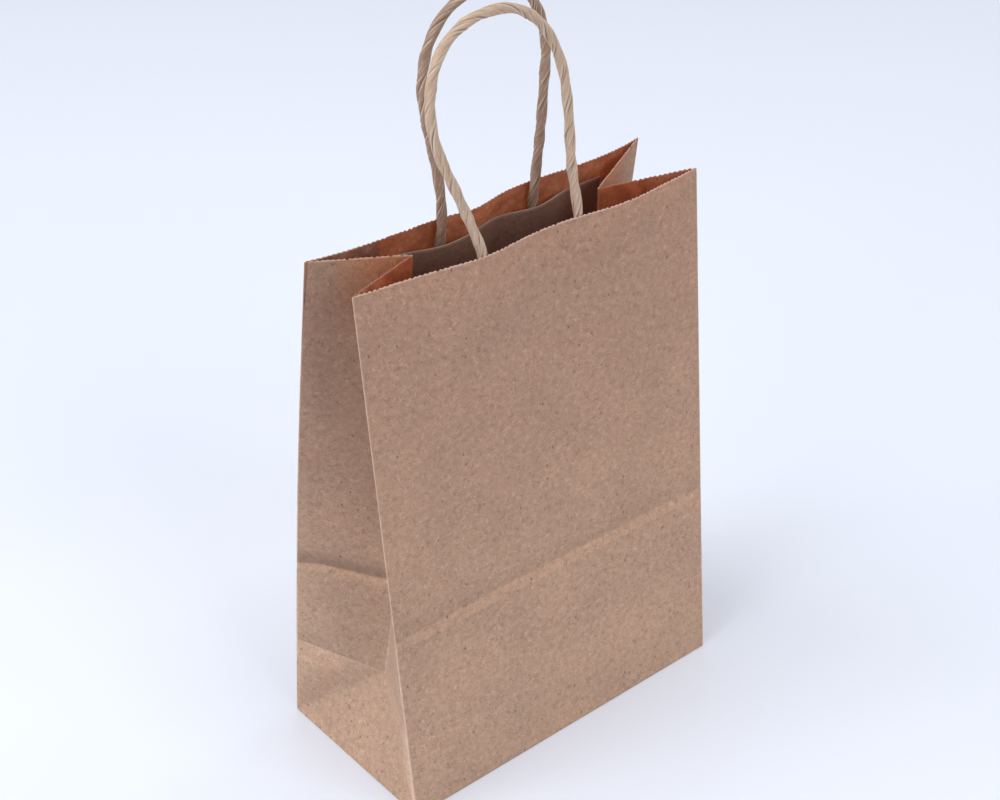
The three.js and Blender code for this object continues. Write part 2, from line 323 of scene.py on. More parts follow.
    def gusset_point(self, flank: Flank, w: float, s: float) -> Vector:
        """Places a point on the outside of a gusset.

        Args:
            flank: Which side of the bag.
            w: The way across its paper, from the front fold.
            s: The height along the paper.

        Returns:
            The point.
        """
        edge = flank.value * self.half_width
        front, back = self.panel_point(FRONT, edge, s), self.panel_point(BACK, edge, s)
        half = self.half_depth
        if s < half:
            tip = self.middle_fold(flank, half)
            front_mitre = self.panel_point(FRONT, edge, 0).lerp(tip, s / half)
            back_mitre = self.panel_point(BACK, edge, 0).lerp(tip, s / half)
            if w < s:
                point = front.lerp(front_mitre, w / s)
            elif w > self.depth - s:
                point = back_mitre.lerp(back, (w - self.depth + s) / s)
            else:
                point = front_mitre.lerp(back_mitre, (w - s) / (self.depth - 2 * s))
        else:
            fold = self.middle_fold(flank, s)
            point = front.lerp(fold, w / half) if w <= half else fold.lerp(back, w / half - 1)
        across = (w % half) / half
        hollow = 4 * across * (1 - across)
        sink = self.gusset_sink * self.crease_at(s) * min(1.0, 2 * hollow)
        sink += self.score_sink * self.score_at(s) * min(1.0, 2 * hollow)
        sink -= self.relief_at(w, s, min(w, self.depth - w, abs(w - half)), 11.3 * flank.value)
        sink -= self.puff_at(min(w, self.depth - w), s)
        point.x -= flank.value * sink
        return point

    def bottom_point(self, across: float, along: float, from_end: float) -> tuple[Vector, float]:
        """Places a point of a bottom flap, in its own panel's terms.

        Args:
            across: The signed way across the panel, from the middle.
            along: How far below the base fold the point is on the blank.
            from_end: How far the nearest end of the panel is on the blank.

        Returns:
            x and the way in from the panel, and which layer it lies in: 0 outside, 1 turned under.
        """
        if from_end >= along:
            return Vector((across, along)), 0.5 if from_end - along < TINY / 100 else 0.0
        sign = math.copysign(1.0, across)
        return Vector((sign * (self.half_width - along), from_end)), 1.0

    def blank_point(self, u: float, s: float) -> Vector:
        """Folds one point of the blank, with every fold dead sharp.

        Args:
            u: The way round, from the free edge of the seam.
            s: The height above the base fold, or below it for the bottom.

        Returns:
            The point on the outside of the bag.
        """
        left_back, _, left_front, right_front, _, right_back = self.folds
        below, high = max(0.0, -s), max(0.0, s)
        lift = ramp(below, 0, self.ply_ramp)
        turned = 2 * self.paper + self.ply_gap
        if left_back < u < left_front or right_front < u < right_back:
            flank, w = (Flank.LEFT, left_front - u) if u < left_front else (Flank.RIGHT, u - right_front)
            point = self.gusset_point(flank, w, high)
            if below:
                point.x = flank.value * (self.half_width - below)
                point.z = lift * (turned + self.ply_gap + self.over_front(point.y))
            return point
        if left_front <= u <= right_front:
            x = u - left_front - self.half_width
            return self.flap_point(FRONT, x, high, below, lift * turned)
        on_seam = u <= left_back
        x = left_back - u - self.half_width if on_seam else right_back + self.half_width - u
        point = self.flap_point(BACK, x, high, below, lift * turned)
        if on_seam:
            settled = ramp(left_back - u, 0, self.flap_ramp)
            point.y += (self.paper + self.seam_gap) * lerp(self.seam_tuck, 1, settled)
        return point

    def flap_point(self, panel: Panel, x: float, high: float, below: float, turned: float) -> Vector:
        """Places a point of a wide panel or of the bottom flap below it.

        Args:
            panel: Which panel.
            x: The way across, from the middle.
            high: The height above the base fold, or 0.
            below: How far below the base fold the point is on the blank, or 0.
            turned: The height of the layer that is turned under.

        Returns:
            The point.
        """
        point = self.panel_point(panel, x, high)
        if not below:
            return point
        place, layer = self.bottom_point(x, below, self.half_width - abs(x))
        y = panel.face.value * (self.half_depth - place.y)
        return Vector((place.x, y, turned * layer + (self.over_front(y) if panel is BACK else 0)))

    def over_front(self, y: float) -> float:
        """Returns how far the back flap and the ends are raised at y, to lie over the front flap."""
        edge = self.bottom - self.half_depth
        return (self.paper + self.ply_gap) * (1 - ramp(y, edge, edge + self.flap_ramp))

    def point(self, u: float, s: float) -> Vector:
        """Folds one point of the blank, with every fold turned on its small radius."""
        radius = self.fold_radius

        def upright(height: float) -> Vector:
            """Returns the point at a height with the upright folds rounded."""
            for fold in self.folds:
                if abs(u - fold) < radius:
                    three = (self.blank_point(fold + way * radius, height) for way in (-1, 0, 1))
                    return self.turn(*three, (u - fold) / radius)
            return self.blank_point(u, height)

        if abs(s) < radius:
            return self.turn(upright(-radius), upright(0), upright(radius), s / radius)
        return upright(s)

    @staticmethod
    def turn(before: Vector, corner: Vector, after: Vector, way: float) -> Vector:
        """Returns a point on the small arc of a fold: way runs from -1 before it to 1 after it."""
        share = (way + 1) / 2
        return before.lerp(corner, share).lerp(corner.lerp(after, share), share)

    def inside(self, panel: Panel, x: float, s: float, off: float) -> Vector:
        """Returns a point inside the bag, a distance off the inner face of a wide panel."""
        point = self.panel_point(panel, x, s)
        point.y -= panel.face.value * (self.paper + off)
        return point


def new_piece(name: str, form: bmesh.types.BMesh) -> bpy.types.Object:
    """Puts a finished form into the scene, as a mesh and an object of one name."""
    mesh = bpy.data.meshes.new(name)
    form.to_mesh(mesh)
    form.free()
    piece = bpy.data.objects.new(name, mesh)
    bpy.context.scene.collection.objects.link(piece)
    return piece


def paper_layers(form: bmesh.types.BMesh) -> tuple[object, object, object]:
    """Adds what the paper's material reads: the place on the blank, the wear and the painted light and
    shade.
    """
    layers = form.verts.layers
    return layers.float_vector.new("blank"), layers.float.new("worn"), layers.float_vector.new("tone")


def thicken(piece: bpy.types.Object, thickness: float) -> None:
    """Gives a sheet its thickness, inwards from the face that was modelled, and marks its lining.

    Args:
        piece: The sheet.
        thickness: In metres.
    """
    solid = piece.modifiers.new("thickness", "SOLIDIFY")
    solid.thickness = thickness
    solid.offset = -1
    evaluated = piece.evaluated_get(bpy.context.evaluated_depsgraph_get())
    old = piece.data
    mesh = bpy.data.meshes.new_from_object(evaluated)
    lining = mesh.attributes.new("lining", "FLOAT", "POINT")
    for index in range(len(old.vertices), len(mesh.vertices)):
        lining.data[index].value = 1
    piece.modifiers.clear()
    piece.data = mesh
    mesh.name = piece.name
    bpy.data.meshes.remove(old)


def soften(piece: bpy.types.Object, sharpest: float) -> None:
    """Shades a piece smoothly, apart from edges that turn by more than an angle in degrees."""
    piece.data.shade_smooth()
    piece.data.set_sharp_from_angle(angle=math.radians(sharpest))


class NodeBench:
    """Lays out the nodes of one material, or of the world."""

    def __init__(self, owner: bpy.types.Material | bpy.types.World) -> None:
        """Starts with none."""
        self.owner = owner
        owner.use_nodes = True
        self.tree = owner.node_tree
        self.tree.nodes.clear()

    def add(self, kind: str, sockets: dict | None = None, **settings) -> bpy.types.Node:
        """Adds a node.

        Args:
            kind: The node's type, without its ShaderNode prefix.
            sockets: What each input holds: a value, or another node's output to join to it.
            settings: The node's own properties.

        Returns:
            The node.
        """
        node = self.tree.nodes.new("ShaderNode" + kind)
        for key, value in settings.items():
            setattr(node, key, value)
        for key, value in (sockets or {}).items():
            if isinstance(value, bpy.types.NodeSocket):
                self.tree.links.new(value, node.inputs[key])
            else:
                node.inputs[key].default_value = value
        return node

    def math(self, operation: str, first: object, second: object = 0.0) -> bpy.types.NodeSocket:
        """Joins two values by a sum and returns its result."""
        return self.add("Math", {0: first, 1: second}, operation=operation).outputs[0]

    def read(self, attribute: str, output: str = "Fac") -> bpy.types.NodeSocket:
        """Reads one of the piece's own attributes, and returns it."""
        return self.add("Attribute", attribute_name=attribute).outputs[output]

    def spread(self, value: object, start: float, end: float, low: float = 0, high: float = 1) -> object:
        """Maps a value from start and end to low and high, held at both, and returns the result."""
        sockets = {"Value": value, "From Min": start, "From Max": end, "To Min": low, "To Max": high}
        return self.add("MapRange", sockets).outputs[0]

    def blend(self, share: object, first: object, second: object, way: str = "MIX") -> object:
        """Blends two colours and returns the result."""
        return self.add("Mix", {0: share, 6: first, 7: second}, data_type="RGBA", blend_type=way).outputs[2]

    def tint(self, share: object, colour: object, by: object) -> object:
        """Multiplies a colour by another, as far as a share says, and returns the result."""
        return self.blend(share, colour, by, "MULTIPLY")

    def cloud(self, place: object, size: float, seed: float, detail: float = 2, twist: float = 0) -> object:
        """Adds soft noise.

        Args:
            place: The coordinates to read, in millimetres.
            size: About how large its patches are.
            seed: A shift that makes it unlike the others.
            detail: How many finer layers it has.
            twist: How far it is distorted.

        Returns:
            The noise, about 0.5 in the middle.
        """
        shift = self.add("Mapping", {"Vector": place, "Location": (seed, seed * 1.7, seed * 2.3)})
        sockets = {"Vector": shift.outputs[0], "Scale": 1 / size, "Detail": detail, "Distortion": twist}
        return self.add("TexNoise", sockets).outputs[0]

    def times(self, first: object, second: object) -> bpy.types.NodeSocket:
        """Multiplies two values and returns the result."""
        return self.math("MULTIPLY", first, second)

    def finish(self, shader: object) -> bpy.types.Material | bpy.types.World:
        """Joins the shader to the output, and returns what the nodes belong to."""
        self.add("Output" + type(self.owner).__name__, {"Surface": shader})
        return self.owner


def srgb(red: int, green: int, blue: int) -> tuple[float, float, float, float]:
    """Turns a colour as a screen shows it, from 0 to 255, into the renderer's own."""
    def channel(value: int) -> float:
        """Returns one channel."""
        share = value / 255
        return share / 12.92 if share <= 0.04045 else ((share + 0.055) / 1.055) ** 2.4

    return channel(red), channel(green), channel(blue), 1.0


@dataclass(frozen=True)
class Fibres:
    """Short curled fibres in the pulp.

    Attributes:
        seed: A shift that makes them unlike the others.
        size: About how wide their curls are, in millimetres.
        thin: How thin they are, as a share of the noise's range.
        colour: What they multiply the paper's colour by.
    """

    seed: float
    size: float
    thin: float
    colour: tuple[float, float, float, float]

    def draw(self, bench: NodeBench, place: object) -> object:
        """Returns 1 on a fibre and 0 off it: level lines of a noise, broken up by another."""
        level = bench.math("SUBTRACT", bench.cloud(place, self.size, self.seed, 0.7, 0.4), 0.5)
        line = bench.spread(bench.math("ABSOLUTE", level), 0, self.thin, 1, 0)
        pieces = bench.spread(bench.cloud(place, self.size * 1.3, self.seed + 31, 0), 0.4, 0.47)
        return bench.times(line, pieces)


@dataclass(frozen=True)
class Specks:
    """Small specks in the pulp.

    Attributes:
        seed: A shift that makes them unlike the others.
        pitch: About how far apart they are, in millimetres.
        radius: How large they are, in millimetres.
    """

    seed: float
    pitch: float
    radius: float

    def draw(self, bench: NodeBench, place: object) -> object:
        """Returns 1 on a speck and 0 off it: the middles of some of a Voronoi pattern's cells."""
        spots = {"Vector": place, "Location": (self.seed, self.seed, 0), "Scale": (1, 0.62, 1)}
        cells = bench.add("TexVoronoi", {
            "Vector": bench.add("Mapping", spots).outputs[0], "Scale": 1 / self.pitch,
        })
        share = self.radius / self.pitch
        dot = bench.spread(cells.outputs["Distance"], share * 0.6, share * 1.4, 1, 0)
        pick = bench.add("SeparateColor", {"Color": cells.outputs["Color"]})
        return bench.times(dot, bench.spread(pick.outputs[0], 0.35, 0.65))


LIGHT_FIBRES = Fibres(41, 2.6, 0.04, (1.17, 1.23, 1.29, 1))
PALE_FIBRES = Fibres(83, 3.4, 0.03, (1.2, 1.27, 1.34, 1))
DARK_FIBRES = Fibres(67, 2.8, 0.036, (0.68, 0.64, 0.6, 1))
FLECKS = Specks(5, 6.5, 0.3)
SHIVES = Specks(19, 4.4, 0.44)


@dataclass(frozen=True)
class KraftFinish:
    """Unbleached kraft paper: mottled pulp, curled fibres, shive specks and a warm glow through it.

    Attributes:
        name: The material's name.
        pulp: The paper's colour.
        glow: The colour of light that has come through it.
        through: How much of the light goes through, as a share.
        worn: The colour where a fold or a cut has roughed the surface.
        shive: The colour of the dark specks of bark.
        shive_strength: How far they cover the pulp.
        fleck: What the pale flecks multiply the paper's colour by.
        low_tone: What multiplies it near the base, a painted light.
        high_tone: The same near the mouth, a painted shade, darker and redder.
        lining_stain: What multiplies the lining, the inside of the bag, where its painted shade is deepest,
            darker and orange as of light come through the paper.
        lining_tone: The same where that painted shade is palest, with a painted orange glow.
    """

    name: str
    pulp: tuple = srgb(186, 157, 134)
    glow: tuple = srgb(255, 176, 120)
    through: float = 0.2
    worn: tuple = srgb(236, 215, 197)
    shive: tuple = srgb(84, 58, 44)
    shive_strength: float = 0.8
    fleck: tuple = (1.35, 1.38, 1.4, 1)
    low_tone: tuple = (1.09, 1.09, 1.09, 1)
    high_tone: tuple = (0.88, 0.83, 0.83, 1)
    lining_stain: tuple = (0.66, 0.39, 0.3, 1)
    lining_tone: tuple = (1.12, 0.74, 0.6, 1)

    def pulp_colour(self, bench: NodeBench, place: object, tint: object) -> object:
        """Returns the pulp's colour with painted light low down, painted shade that is darker and redder
        higher up, and the sheet's own painted light and shade.
        """
        # Painted light near the base and painted shade, darker and redder, near the mouth.
        high = bench.spread(bench.add("SeparateXYZ", {0: place}).outputs[1], 30, 285)
        tone = bench.blend(high, self.low_tone, self.high_tone)
        colour = bench.tint(1.0, bench.tint(1.0, self.pulp, tone), tint)
        return bench.tint(1.0, colour, bench.read("tone", "Vector"))

    def material(self) -> bpy.types.Material:
        """Lays out the material and returns it."""
        bench = NodeBench(bpy.data.materials.new(self.name))
        place = bench.read("blank", "Vector")
        cloudy = bench.spread(bench.cloud(place, 28, 3, 3), 0.3, 0.7, 0.955, 1.045)
        mottled = bench.spread(bench.cloud(place, 3.2, 11, 4), 0.3, 0.7, 0.92, 1.08)
        grain = bench.cloud(place, 0.55, 17, 2)
        grainy = bench.spread(grain, 0.25, 0.75, 0.93, 1.07)
        shade = bench.times(bench.times(cloudy, mottled), grainy)
        tint = bench.add("CombineColor", {0: shade, 1: shade, 2: shade}).outputs[0]
        colour = self.pulp_colour(bench, place, tint)
        kinds = (LIGHT_FIBRES, PALE_FIBRES, DARK_FIBRES)
        light, pale, dark = (kind.draw(bench, place) for kind in kinds)
        for kind, drawn in zip(kinds, (light, pale, dark)):
            colour = bench.tint(drawn, colour, kind.colour)
        colour = bench.tint(FLECKS.draw(bench, place), colour, self.fleck)
        shives = bench.times(SHIVES.draw(bench, place), self.shive_strength)
        colour = bench.blend(shives, colour, self.shive)
        lining = bench.read("lining")
        # Painted shade and a painted orange glow on the lining, the inside of the bag, in soft patches.
        lining_painted_patches = bench.spread(bench.cloud(place, 7, 29, 3), 0.36, 0.62)
        colour = bench.tint(lining, colour, bench.blend(lining_painted_patches, self.lining_stain, self.lining_tone))
        roughed = bench.times(bench.read("worn"), bench.spread(lining, 0, 1, 0.8, 0.2))
        colour = bench.blend(roughed, colour, self.worn)
        raised = bench.times(bench.math("SUBTRACT", light, dark), 0.6)
        height = bench.math("ADD", grain, raised)
        bump = bench.add("Bump", {"Height": height, "Strength": 0.35, "Distance": 0.06 * MM})
        body = bench.add("BsdfPrincipled", {
            "Base Color": colour, "Roughness": bench.spread(grain, 0.3, 0.7, 0.72, 0.86),
            "Normal": bump.outputs[0], "Specular IOR Level": 0.28,
        })
        glow = bench.add("BsdfTranslucent", {"Color": bench.tint(1.0, self.glow, tint)})
        mix = bench.add("MixShader", {0: self.through, 1: body.outputs[0], 2: glow.outputs[0]})
        return bench.finish(mix.outputs[0])


@dataclass(frozen=True)
class CordFinish:
    """Paper twisted into cord: fine streaks that follow the twist, painted shade in the pleats and a
    painted highlight on their lips.

    Attributes:
        name: The material's name.
        pulp: The paper's colour on the crests.
        hollow: The colour between the crests.
        pleat: The painted shade down in the pleats, which is also the colour of the darkest fine streaks.
        streak: The colour of the palest streaks, and of the painted highlight on the pleats' lips.
    """

    name: str
    pulp: tuple = srgb(190, 165, 144)
    hollow: tuple = srgb(160, 132, 111)
    pleat: tuple = srgb(92, 68, 52)
    streak: tuple = srgb(222, 202, 182)

    def material(self) -> bpy.types.Material:
        """Lays out the material and returns it."""
        bench = NodeBench(bpy.data.materials.new(self.name))
        place = bench.read("twist", "Vector")
        drawn = bench.add("Mapping", {"Vector": place, "Scale": (1, 1, 0.16)}).outputs[0]
        fine = bench.cloud(drawn, 0.42, 5, 2)
        broad = bench.cloud(drawn, 1.5, 23, 2)
        colour = bench.blend(bench.spread(broad, 0.35, 0.65, 0, 0.5), self.pulp, self.hollow)
        colour = bench.blend(bench.spread(fine, 0.58, 0.75, 0, 0.5), colour, self.streak)
        colour = bench.blend(bench.spread(fine, 0.42, 0.25, 0, 0.3), colour, self.pleat)
        # Painted highlight on the pleats' lips and painted shade down in the pleats.
        colour = bench.blend(bench.times(bench.read("lip"), 0.55), colour, self.streak)
        colour = bench.blend(bench.times(bench.read("pleat"), 0.85), colour, self.pleat)
        bump = bench.add("Bump", {"Height": fine, "Strength": 0.5, "Distance": 0.12 * MM})
        body = bench.add("BsdfPrincipled", {
            "Base Color": colour, "Roughness": 0.62, "Normal": bump.outputs[0], "Specular IOR Level": 0.35,
        })
        return bench.finish(body.outputs[0])


@dataclass(frozen=True)
class FloorFinish:
    """A plain pale floor.

    Attributes:
        name: The material's name.
        colour: Its colour, a little cool.
    """

    name: str = "pale_floor"
    colour: tuple = srgb(231, 237, 250)

    def material(self) -> bpy.types.Material:
        """Lays out the material and returns it."""
        bench = NodeBench(bpy.data.materials.new(self.name))
        body = bench.add("BsdfPrincipled", {
            "Base Color": self.colour, "Roughness": 0.9, "Specular IOR Level": 0.1,
        })
        return bench.finish(body.outputs[0])


@dataclass
class FoldedSheet:
    """The one folded sheet that the bag's body is.

    Attributes:
        shape: The form that it is folded to.
        finish: What it is made of.
        column: About how far apart its columns are, in millimetres.
        gusset_marks: How much paler a gusset is with painted light just under the packing crease, how much
            darker it is with painted shade above it, and how tall the pale part is, in millimetres.
        panel_marks: The same on a wide panel.
        score_wear: How far the lower score line is roughed, as a share.
        ease_reach: How far from its mitre a gusset is softened, in millimetres.
        ease_rounds: How many times it is smoothed.
        seam_tone: What multiplies the paper's red, green and blue on the seam's inner layer: painted shade,
            greyer where the doubled paper lets less warm light through.
        gusset_tone: The same on the gussets, a slight painted shade.
        warm_tone: The same high up in the middle of the gussets: a painted orange glow, as of light come
            through the paper.
        sharpest: The turn that still shades smoothly, in degrees.
    """

    shape: Shape
    finish: KraftFinish
    column: float = 2.5
    gusset_marks: tuple[float, float, float] = (0.21, 0.29, 3.4)
    panel_marks: tuple[float, float, float] = (0.07, 0.06, 5)
    score_wear: float = 0.35
    ease_reach: float = 9
    ease_rounds: int = 8
    seam_tone: tuple[float, float, float] = (0.8, 0.98, 1.15)
    gusset_tone: tuple[float, float, float] = (0.96, 0.98, 1)
    warm_tone: tuple[float, float, float] = (1.1, 0.82, 0.64)
    sharpest: float = 62

    def columns(self) -> list[float]:
        """Returns the way round of every column of the blank, with more of them at the folds."""
        shape = self.shape
        near = [way * shape.fold_radius for way in (-2.4, -1.6, -1, -0.5, 0.5, 1, 1.6, 2.4)]
        edges = [0.0, *shape.folds, shape.around]
        places = [place for ends in zip(edges, edges[1:]) for place in stops(*ends, self.column)]
        places += [fold + way for fold in shape.folds for way in near]
        return sorted({round(place, 4) for place in places})

    def rows(self) -> list[float]:
        """Returns the height of every row of the blank, with more of them at the creases."""
        shape = self.shape
        radius, half, crease = shape.fold_radius, shape.half_depth, shape.crease
        low, high = crease - shape.crease_below, crease + shape.crease_above
        return [
            *stops(-shape.bottom, -shape.ply_ramp, 4.5), -1.4,
            *(radius * way for way in (-1, -0.5, 0, 0.5, 1)),
            *stops(2, half - shape.score_reach, 2.4), half - 0.5, half, half + 0.5,
            *stops(half + shape.score_reach, low - 2, 3.2),
            *stops(low - 0.6, crease - 1, 1.3), crease - 0.4, crease, crease + 0.6,
            *stops(crease + 1.6, high + 1, 1.8),
            *stops(high + 4, shape.height - 4, 3.4), shape.height - 2.2, shape.height - 1.2, shape.height,
        ]

    def blank(self) -> bmesh.types.BMesh:
        """Cuts the flat blank and scores its mitres, and returns it in millimetres."""
        shape, columns, rows = self.shape, self.columns(), self.rows()
        sheet = bmesh.new()
        bmesh.ops.create_grid(sheet, x_segments=len(columns) - 1, y_segments=len(rows) - 1, size=1)
        for vertex in sheet.verts:
            column = round((vertex.co.x + 1) / 2 * (len(columns) - 1))
            row = round((vertex.co.y + 1) / 2 * (len(rows) - 1))
            vertex.co = Vector((columns[column], rows[row], 0))
        self.cut_teeth(sheet)
        self.score(sheet)
        self.cut_seam(sheet)
        return sheet

    def cut_seam(self, sheet: bmesh.types.BMesh) -> None:
        """Cuts the seam's inner layer away below the base fold, where its outer layer lies alone."""
        middles = [(face, face.calc_center_median()) for face in sheet.faces]
        start, top = self.shape.inner_seam, -self.shape.ply_ramp
        hidden = [face for face, middle in middles if middle.x > start and middle.y < top]
        bmesh.ops.delete(sheet, geom=hidden, context="FACES")

    def cut_teeth(self, sheet: bmesh.types.BMesh) -> None:
        """Cuts the saw-toothed top edge: each column there is a notch, with a tooth between."""
        shape = self.shape
        top = [edge for edge in sheet.edges if all(shape.height - v.co.y < TINY for v in edge.verts)]
        wide = [edge for edge in top if edge.calc_length() > self.column * 0.6]
        places = {round(vertex.co.x, 3) for edge in top for vertex in edge.verts}
        bmesh.ops.subdivide_edges(sheet, edges=wide, cuts=1)
        for vertex in sheet.verts:
            if shape.height - vertex.co.y < TINY and round(vertex.co.x, 3) in places:
                ragged = 0.75 + 0.9 * noise.noise(Vector((vertex.co.x * 1.3, 0, 5)))
                vertex.co.y -= shape.tooth_depth * ragged

    def score(self, sheet: bmesh.types.BMesh) -> None:
        """Cuts the lines of the mitres into the blank, so that it folds cleanly along them."""
        shape = self.shape
        left_back, _, left_front, right_front, _, right_back = shape.folds
        for corner in (left_back, left_front, right_front, right_back):
            gusset = 1 if corner in (left_back, right_front) else -1
            self.score_line(sheet, corner, gusset, 1, shape.half_depth)
            self.score_line(sheet, corner, -gusset, -1, shape.bottom)
        self.score_line(sheet, shape.inner_seam + shape.seam, -1, -1, shape.bottom)

    def score_line(self, sheet: bmesh.types.BMesh, corner: float, way: int, up: int, reach: float) -> None:
        """Cuts one line at 45 degrees.

        Args:
            sheet: The blank.
            corner: The way round of the fold that it starts from, at the base fold.
            way: 1 if it runs on round the blank, or -1 if it runs back.
            up: 1 if it runs up the wall, or -1 if it runs down into the bottom.
            reach: How far it goes.
        """
        def within(face: bmesh.types.BMFace) -> bool:
            """Returns whether a face lies where the line may cut it."""
            middle = face.calc_center_median()
            across, along = (middle.x - corner) * way, middle.y * up
            return -0.01 < across < reach + 0.01 and 0 < along < reach + 0.01

        faces = [face for face in sheet.faces if within(face)]
        edges = {edge for face in faces for edge in face.edges}
        corners = {vertex for face in faces for vertex in face.verts}
        bmesh.ops.bisect_plane(
            sheet, geom=[*faces, *edges, *corners], dist=TINY,
            plane_co=(corner, 0, 0), plane_no=(-way, up, 0),
        )

    def wear(self, u: float, s: float) -> float:
        """Returns how far a place on the blank is roughed, from 0 to 1, by a fold or by the cut."""
        shape = self.shape
        inner = min(abs(u - place) for place in shape.middles)
        outer = min(abs(u - place) for place in shape.folds if place not in shape.middles)
        middle = inner if s > shape.half_depth else shape.depth
        patchy = 0.8 + 0.5 * noise.noise(Vector((u / 3, s / 6, 9)))
        rubbed_and_painted_light = max(0.95 * (1 - ramp(outer, 0.15, 1.1)), 0.4 * (1 - ramp(middle, 0.15, 1.1)))
        worn = patchy * rubbed_and_painted_light * ramp(s, 0, 4)
        edge = ramp(s, shape.height - 1.1, shape.height - 0.5)
        scored = max(0.0, 1 - abs(s - shape.half_depth) / 0.8) if inner < shape.half_depth else 0.0
        return min(1.0, max(worn, edge, self.score_wear * patchy * scored))

    def tone(self, u: float, s: float) -> Vector:
        """Works out the painted light and shade: a painted highlight on the facet under each crease,
        painted shade in the band above it, and more of both on the gussets.

        Args:
            u: The way round the blank.
            s: The height.

        Returns:
            What the paper's red, green and blue are multiplied by.
        """
        shape, crease = self.shape, self.shape.crease
        inner = min(abs(u - place) for place in shape.middles)
        gusset = inner < shape.half_depth
        rubbed_and_painted_light, behind, below = self.gusset_marks if gusset else self.panel_marks
        low, high = crease - below, crease + shape.crease_above
        # Painted highlight on the facet just under the crease, painted shade in the band above it, and a
        # thin painted shade line under the facet.
        facet = ramp(s, low - 0.4, low + 0.6) * (1 - ramp(s, crease - 0.8, crease + 0.4))
        band = ramp(s, crease - 0.4, crease + 1.2) * (1 - ramp(s, crease + 1.6, high))
        tone = 1 + rubbed_and_painted_light * facet - behind * band - 0.07 * max(0.0, 1 - abs(s - low + 0.8) / 0.8)
        # The seam's inner layer takes its own painted shade: greyer, with less of the painted orange glow.
        if u > shape.inner_seam:
            return tone * Vector(self.seam_tone)
        if not gusset:
            return Vector((tone, tone, tone))
        away = shape.half_depth - inner
        front = u > shape.middles[0] if u < shape.folds[2] else u < shape.middles[1]
        # On the gussets, painted light beside the front fold and along the score line on the base triangle,
        # and beside the outer folds above it; painted shade in a thin line just above the score line and up
        # to the packing crease.
        below = shape.half_depth - s
        if below > 0:
            back = 0.16 * (1 - ramp(below, 0, 18)) * (1 - ramp(away, 18, 45))
            tone += 0.26 * (1 - ramp(away, 0, 11)) if front else back
        else:
            tone += 0.05 * (1 - ramp(away, 0, 9)) - 0.07 * max(0.0, 1 - abs(below + 0.9) / 0.8)
            tone -= 0.05 * (1 - ramp(s, crease - 12, crease - 5))
        # Painted shade deep in the gusset's valley, high up, where its front half shuts out the light.
        tone -= 0.11 * ramp(away, 15, 50) * ramp(s, crease + 8, crease + 70)
        # Painted orange glow high up in the middle of the gussets, as of light come through the paper.
        warm = ramp(s, shape.height - 50, shape.height - 6) * ramp(away, 8, 34)
        return tone * Vector(self.gusset_tone).lerp(Vector(self.warm_tone), warm)

    def build(self) -> bpy.types.Object:
        """Folds the blank, gives it its thickness and its finish, and returns the piece."""
        sheet = self.blank()
        blank, worn, tone = paper_layers(sheet)
        for vertex in sheet.verts:
            u, s = vertex.co.x, vertex.co.y
            vertex[blank] = (u, s, 0)
            vertex[worn] = self.wear(u, s)
            vertex[tone] = self.tone(u, s)
            vertex.co = self.shape.point(u, s)
        self.ease(sheet, blank)
        bmesh.ops.transform(sheet, matrix=Matrix.Scale(MM, 4), verts=sheet.verts)
        piece = new_piece("kraft_sheet", sheet)
        thicken(piece, self.shape.paper * MM)
        soften(piece, self.sharpest)
        piece.data.materials.append(self.finish.material())
        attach(piece, BODY)
        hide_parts("folded_sheet")
        return piece

    def ease(self, sheet: bmesh.types.BMesh, blank: object) -> None:
        """Lets each gusset bend softly along one side of its base triangle, as paper does.

        Args:
            sheet: The folded sheet.
            blank: The layer that holds each point's place on the blank.
        """
        shape = self.shape
        soft = []
        for vertex in sheet.verts:
            u, s, _ = vertex[blank]
            for middle in shape.middles:
                across = u - middle + shape.half_depth
                inside = 2 < s < shape.half_depth - 2 and across > 2
                if inside and abs(across - s) < self.ease_reach:
                    soft.append(vertex)
        axes = dict.fromkeys(("use_axis_x", "use_axis_y", "use_axis_z"), True)
        for _ in range(self.ease_rounds):
            bmesh.ops.smooth_vert(sheet, verts=soft, factor=0.5, **axes)


